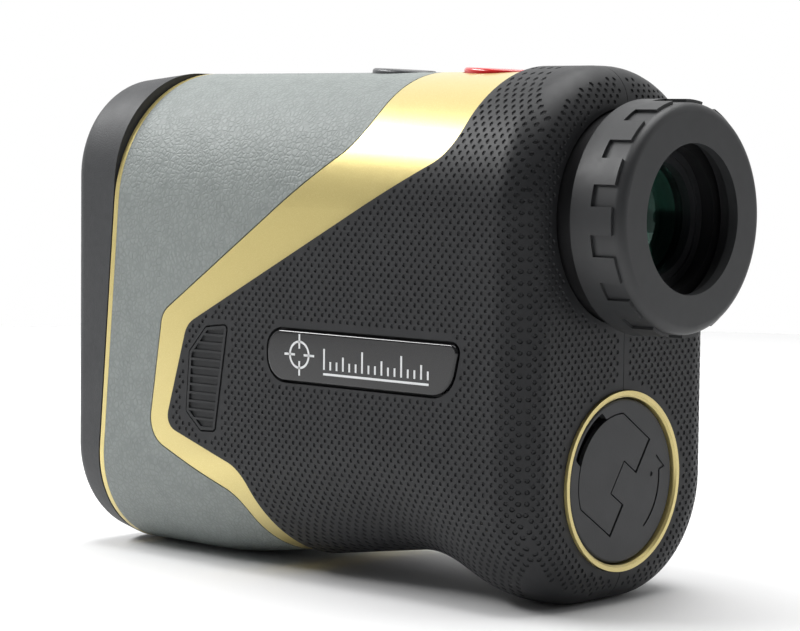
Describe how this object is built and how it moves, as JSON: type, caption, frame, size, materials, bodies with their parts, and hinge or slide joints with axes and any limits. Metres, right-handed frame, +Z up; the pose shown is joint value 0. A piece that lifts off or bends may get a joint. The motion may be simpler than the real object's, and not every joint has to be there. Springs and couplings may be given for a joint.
{
  "type": "laser rangefinder",
  "caption": "Hand-held monocular laser rangefinder with an upright rounded body, twist-focus eyepiece, two top buttons, side grips and a screw-in battery cap.",
  "frame": {"origin": "on the ground plane under the middle of the bounding box", "axes": "+X from the objective towards the eyepiece, +Y to the user's right, +Z up"},
  "size_m": [0.106, 0.0436, 0.0753],
  "materials": {
    "leatherette": "fine grained leatherette, matt",
    "gold_paint": "satin gold paint",
    "gold_anodised": "satin gold anodised",
    "grip_rubber": "moulded dimple texture",
    "soft_rubber": "smooth matt",
    "bezel_plastic": "fine spark texture",
    "housing_plastic": "plain moulded",
    "badge_gloss": "high gloss, domed",
    "red_button": "gloss",
    "grey_button": "satin",
    "cap_plastic": "semi-gloss",
    "seal_rubber": "smooth",
    "circuit_board": "solder mask",
    "chip": "epoxy",
    "switch_body": "moulded",
    "black_aluminium": "black anodised, matt",
    "lens_glass": "green coated",
    "prism_glass": "polished",
    "display_glass": "polished",
    "steel": "zinc plated",
    "spring_steel": "bright",
    "contact": "plated",
    "battery_wrap": "printed film, left blank",
    "flex_film": "polyimide"
  },
  "bodies": {
    "body": {"front_bezel": "bezel_plastic", "front_trim_ring": "gold_paint", "front_sleeve": "leatherette", "accent_band": "gold_paint", "left_grip": "grip_rubber", "right_grip": "grip_rubber", "left_grip_insert": "soft_rubber", "right_grip_insert": "soft_rubber", "left_name_badge": "badge_gloss", "right_name_badge": "badge_gloss", "left_housing": "housing_plastic", "right_housing": "housing_plastic", "housing_screws": "steel", "bezel_screws": "steel", "board_screws": "steel", "optical_chassis": "black_aluminium", "objective_barrel": "black_aluminium", "objective_lens": "lens_glass", "objective_retainer": "black_aluminium", "prism_housing": "housing_plastic", "roof_prism": "prism_glass", "beam_splitter_prism": "prism_glass", "eyepiece_tube": "black_aluminium", "field_lens": "lens_glass", "display": "display_glass", "focus_seal": "seal_rubber", "receiver_barrel": "black_aluminium", "receiver_lens": "lens_glass", "receiver_retainer": "black_aluminium", "receiver_board": "circuit_board", "photodiode": "steel", "laser_diode": "contact", "laser_board": "circuit_board", "main_board": "circuit_board", "board_chips": "chip", "flex_cable": "flex_film", "button_board": "circuit_board", "tact_switches": "switch_body", "button_seal": "seal_rubber", "battery_tube": "housing_plastic", "battery_spring": "spring_steel", "battery_ring": "gold_anodised"},
    "fire_button": {"fire_button": "red_button"},
    "mode_button": {"mode_button": "grey_button"},
    "diopter": {"focus_ring": "housing_plastic", "eyecup": "soft_rubber"},
    "lens_cell": {"lens_cell": "black_aluminium", "eye_lens": "lens_glass", "cell_retainer": "black_aluminium"},
    "cap_carrier": {"cap_seal": "seal_rubber"},
    "cap": {"cap_body": "cap_plastic", "cap_hinge_pin": "steel", "cap_contact": "contact"},
    "flap": {"cap_flap": "cap_plastic"},
    "battery": {"battery": "battery_wrap"}
  },
  "joints": [
    {"name": "fire_button_press", "type": "slide", "parent": "body", "child": "fire_button", "axis": [0, 0, -1], "range_m": [0, 0.0006], "stiffness_N_per_m": 1500},
    {"name": "mode_button_press", "type": "slide", "parent": "body", "child": "mode_button", "axis": [0, 0, -1], "range_m": [0, 0.0006], "stiffness_N_per_m": 1500},
    {"name": "diopter_turn", "type": "hinge", "parent": "body", "child": "diopter", "pos_m": [0.0447, 0, 0.0544], "axis": [1, 0, 0], "range_deg": [-150, 150]},
    {"name": "lens_cell_slide", "type": "slide", "parent": "body", "child": "lens_cell", "axis": [1, 0, 0], "range_m": [-0.00124, 0.00124]},
    {"name": "battery_cap_out", "type": "slide", "parent": "body", "child": "cap_carrier", "axis": [1, 0, 0], "range_m": [0, 0.045]},
    {"name": "battery_cap_turn", "type": "hinge", "parent": "cap_carrier", "child": "cap", "pos_m": [0.0395, 0, 0.01745], "axis": [1, 0, 0], "range_deg": [0, 90]},
    {"name": "cap_flap_fold", "type": "hinge", "parent": "cap", "child": "flap", "pos_m": [0.04055, 0.00099, 0.01678], "axis": [0, 0.5592, 0.829], "range_deg": [0, 90]},
    {"name": "battery_out", "type": "slide", "parent": "body", "child": "battery", "axis": [1, 0, 0], "range_m": [0, 0.0225]}
  ],
  "couplings": [
    {"joint": "diopter_turn", "follows": "lens_cell_slide", "rad_per_m": 2094.4},
    {"joint": "battery_out", "follows": "battery_cap_out", "ratio": 0.5}
  ]
}
